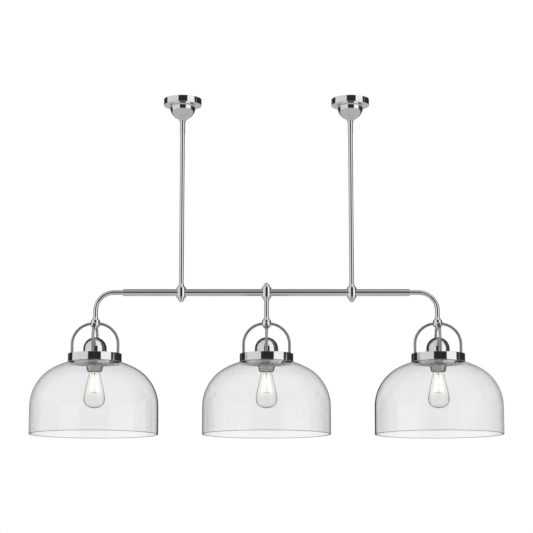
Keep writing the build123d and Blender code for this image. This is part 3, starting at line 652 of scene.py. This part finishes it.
for name, x in shadePlaces.items():
    seatTop = lamp["neck"] + lamp["seatRise"]
    neck = [
        (lamp["seatRadius"] - lamp["wall"], seatTop), (lamp["seatRadius"], seatTop),
        (lamp["seatRadius"], lamp["neck"] - lamp["seatDrop"])]
    wall = neck + envelopeLine(0) + envelopeLine(lamp["wall"])[::-1]
    envelope = turned(f"lampEnvelope_{name}", wall, x)
    dress(envelope, lampGlass, f"{name}_lamp", "lamp_glass", f"bulb_glass_{name}")

    screwTop = lamp["contact"] - insulator["height"]
    screw = threaded(
        f"rolledScrewBase_{name}", x, lamp["neck"], screwTop,
        lamp["threadRoot"], lamp["baseRadius"], lamp["pitch"])
    dress(screw, lampBrass, f"{name}_lamp", "lamp_brass", f"bulb_base_{name}")
    insulatorFoot, insulatorTip = screwTop - insulator["overlap"], lamp["contact"] - insulator["tipDrop"]
    glazed = turned(f"lampInsulator_{name}", [
        (0, insulatorFoot), (lamp["threadRoot"], insulatorFoot),
        (lamp["threadRoot"], screwTop, insulator["edge"]),
        (insulator["tip"], insulatorTip, insulator["tipEdge"]), (0, insulatorTip)], x, around=72)
    dress(glazed, vitrite, f"{name}_lamp", "glazed_socket", f"bulb_base_{name}")
    eyeletFoot = lamp["contact"] - eyelet["height"]
    contact = turned(f"lampContact_{name}", [
        (0, lamp["contact"]), (eyelet["crown"], lamp["contact"], eyelet["round"]),
        (eyelet["radius"], eyeletFoot, eyelet["edge"]), (0, eyeletFoot)], x, around=48)
    dress(contact, lampBrass, f"{name}_lamp", "lamp_brass", f"bulb_base_{name}")

    stemFoot = cage["top"] - cage["stemFoot"]
    post = turned(f"filamentStem_{name}", [
        (0, lamp["neck"] + press["top"]), (press["radius"], lamp["neck"] + press["rise"], press["edge"]),
        (press["waist"], lamp["neck"] - press["waistDrop"], press["waistRound"]),
        (cage["stem"], lamp["neck"] - press["drop"], press["dropRound"]),
        (cage["stem"], stemFoot, press["edge"]), (0, stemFoot)], x, around=48)
    dress(post, lampBrass, f"{name}_lamp", "lamp_brass", f"bulb_filament_{name}")
    glassTop, glassFoot = cage["top"] - cage["glassTop"], cage["foot"] - cage["glassFoot"]
    glassRod = turned(f"filamentGlassRod_{name}", [
        (0, glassTop), (cage["glassRod"], glassTop),
        (cage["glassRod"], glassFoot, cage["glassRound"]), (0, glassFoot)], x, around=24)
    dress(glassRod, lampGlass, f"{name}_lamp", "lamp_glass", f"bulb_filament_{name}")
    for number in range(cage["wires"]):
        angle = 2 * pi * number / cage["wires"]
        out = Vector((cos(angle), sin(angle), 0))
        high = Vector((x, 0, cage["top"])) + out * cage["topRadius"]
        low = Vector((x, 0, cage["foot"])) + out * cage["footRadius"]
        thread = straightWire(f"filamentThread_{name}_{number + 1}", high, low, cage["thread"], fine=4)
        dress(thread, carbonGlow, f"{name}_lamp", "filament", f"bulb_filament_{name}")
        for spot, label in ((high, "Upper"), (low, "Lower")):
            middle = Vector((x, 0, spot.z))
            wire = straightWire(
                f"support{label}_{name}_{number + 1}", middle, spot, cage["support"], fine=2)
            dress(wire, zinc, f"{name}_lamp", "filament", f"bulb_filament_{name}")
print("lamps made")

# Nuts that show from above and from below
seatNut = {"top": -3.05, "flats": 14, "thick": 3.2, "bore": 4.9, "chamfer": 0.35}
armNut = {"top": -720.05, "flats": 10, "thick": 3.5, "bore": 3.8, "chamfer": 0.35}

for side, x in rodPlaces.items():
    nut = hexNut(f"seatLocknut_{side}", x, 0, seatNut)
    dress(nut, zinc, "ceiling_mount", "zinc_plated_steel", "seat_locknuts")
for name, x in shadePlaces.items():
    for number, (dx, dy) in enumerate(armWays, 1):
        nut = hexNut(f"armNut_{name}_{number}", x + dx * arm["circle"], dy * arm["circle"], armNut)
        dress(nut, zinc, "hanging_frame", "zinc_plated_steel", "arm_nuts")
print("fixings made")

# Studio: a pale floor far below and a soft light; the light's size and places are in metres
studio = {
    "floorHeight": -1900, "floorRadius": 9000, "floorColour": "#F5F5F4",
    "speckle": "#F3F3F2", "speckleSize": 25,
    "lightPower": 26, "lightSize": 1.6, "lightPlace": (-0.7, -1.2, 1.5), "lightAim": (0, 0, -0.6),
    "ambient": 0.93}

bm = bmesh.new()
bmesh.ops.create_circle(
    bm, cap_ends=True, segments=96, radius=studio["floorRadius"] * mm,
    matrix=Matrix.Translation((0, 0, studio["floorHeight"] * mm)))
floor = meshPiece("paleFloor", bm)
paint, tree, place = newMaterial("paleFloorPaint")
speckled = noise(tree, place, studio["speckleSize"], 2.0)
matte = addNode(tree, "ShaderNodeBsdfDiffuse", {
    "Color": toned(tree, speckled, [(0.3, studio["speckle"]), (0.7, studio["floorColour"])])})
addNode(tree, "ShaderNodeOutputMaterial", {"Surface": matte.outputs[0]})
floor.data.materials.append(paint)
floor.visible_glossy = False
floor.visible_transmission = False

soft = bpy.data.lights.new("softOverhead", "AREA")
soft.shape = "DISK"
soft.size = studio["lightSize"]
soft.energy = studio["lightPower"]
lightStand = bpy.data.objects.new("softOverhead", soft)
lightStand.location = studio["lightPlace"]
aim = Vector(studio["lightAim"]) - lightStand.location
lightStand.rotation_euler = aim.to_track_quat("-Z", "Y").to_euler()
lightStand.visible_glossy = False
lightStand.visible_transmission = False
bpy.context.collection.objects.link(lightStand)

# The room that the chrome mirrors, as colours round the walls and overhead. Each colour's place is
# its azimuth in degrees, which is 0 behind the camera and grows towards the right of the picture.
room = {
    "atEyeLevel": [
        (-180, "#2A2A2B"), (-143, "#2A2A2B"), (-141, "#A8A9AA"), (-138, "#262627"), (-107, "#2A2B2C"),
        (-105, "#DEDFDF"), (-60, "#DADADB"), (-25, "#D6D7D7"), (-23, "#2B2C2D"), (31, "#2B2C2D"),
        (32, "#FAFAFA"), (78, "#FAFAFA"), (80, "#2D2E2F"), (94, "#2D2E2F"), (96, "#ABACAD"),
        (98, "#2D2E2F"), (180, "#2A2A2B")],
    "overhead": [
        (-180, "#5A5B5C"), (-110, "#8A8B8C"), (-100, "#D2D3D3"), (-30, "#D2D3D3"), (-22, "#9C9D9E"),
        (16, "#9C9D9E"), (24, "#F2F2F2"), (80, "#F2F2F2"), (90, "#8A8B8C"), (180, "#5A5B5C")],
    "floor": "#B6B7B8",
    "skirtHeight": (-17, -7),  # where the floor meets the walls, in front and behind
    "panelHeight": (24, 70),  # where the walls meet what is overhead, in front and behind
    "wash": "#F4F4F4",
    "washOnGlass": 0.7,  # the glass mirrors the room faintly, and clearly only along its outline
    "outline": (14, 24),  # degrees off the straight line through the glass
    "softness": 1.5,
}
world = bpy.data.worlds.new("plainStudio")
bpy.context.scene.world = world
world.use_nodes = True
tree = world.node_tree
tree.nodes.clear()
direction = addNode(tree, "ShaderNodeTexCoord").outputs["Generated"]
parts = addNode(tree, "ShaderNodeSeparateXYZ", {"Vector": direction}).outputs
azimuth = maths(tree, "ARCTAN2", parts["X"], maths(tree, "MULTIPLY", parts["Y"], -1.0))
faced = maths(tree, "COSINE", azimuth)
rise = maths(tree, "ARCSINE", parts["Z"])
around = spanned(tree, azimuth, -pi, pi)
edge = radians(room["softness"])


def roomColours(stops):
    return toned(tree, around, [((degrees + 180) / 360, colour) for degrees, colour in stops])


def pastHeight(heights):
    # 0 below and 1 above a height that runs from its front value round to its back value.
    limit = spanned(tree, faced, 1.0, -1.0, radians(heights[0]), radians(heights[1]))
    return spanned(tree, maths(tree, "SUBTRACT", rise, limit), -edge, edge)


upper = blended(
    tree, pastHeight(room["panelHeight"]), roomColours(room["atEyeLevel"]), roomColours(room["overhead"]))
rays = addNode(tree, "ShaderNodeLightPath").outputs
offAxis = maths(tree, "ARCCOSINE", parts["Y"])
outline = [radians(degrees) for degrees in room["outline"]]
faint = spanned(tree, offAxis, *outline, 0.0, room["washOnGlass"])
# A ray that crossed the glass twice each way met a chromed piece inside it and keeps the full contrast.
metal = maths(tree, "COMPARE", rays["Transmission Depth"], 4.0, 0.5)
washable = addNode(
    tree, "ShaderNodeMath", {0: rays["Is Singular Ray"], 1: metal}, operation="SUBTRACT", use_clamp=True)
onGlass = maths(tree, "MULTIPLY", faint, washable.outputs[0])
washed = blended(tree, onGlass, upper, linearColour(room["wash"]))
whole = blended(tree, pastHeight(room["skirtHeight"]), linearColour(room["floor"]), washed)
mirrored = addNode(tree, "ShaderNodeBackground", {"Color": whole, "Strength": 1.0})
white = linearColour("#FFFFFF")
ambient = addNode(tree, "ShaderNodeBackground", {"Color": white, "Strength": studio["ambient"]})
backdrop = addNode(tree, "ShaderNodeBackground", {"Color": white, "Strength": 1.0})
reflected = maths(tree, "MAXIMUM", rays["Is Glossy Ray"], rays["Is Transmission Ray"])
lit = addNode(tree, "ShaderNodeMixShader", {0: reflected, 1: ambient.outputs[0], 2: mirrored.outputs[0]})
unmirrored = maths(tree, "LESS_THAN", rays["Glossy Depth"], 0.5)
through = maths(tree, "MULTIPLY", rays["Is Transmission Ray"], unmirrored)
seen = maths(tree, "MAXIMUM", rays["Is Camera Ray"], through)
whiteOut = addNode(tree, "ShaderNodeMixShader", {0: seen, 1: lit.outputs[0], 2: backdrop.outputs[0]})
addNode(tree, "ShaderNodeOutputWorld", {"Surface": whiteOut.outputs[0]})

# The photograph's camera: below the crossbar, 4.6 m in front, tipped up a little
shot = {"place": (0, -4.579, -1.233), "tip": 9.4, "focal": 113.47, "farthest": 60}
lens = bpy.data.cameras.new("pendantView")
lens.lens = shot["focal"]
lens.clip_end = shot["farthest"]
camera = bpy.data.objects.new("pendantView", lens)
camera.location = shot["place"]
camera.rotation_euler = (radians(90 + shot["tip"]), 0, 0)
bpy.context.collection.objects.link(camera)
bpy.context.scene.camera = camera
bpy.context.scene.view_settings.view_transform = "Standard"
print("studio and camera made")

bpy.context.view_layer.update()
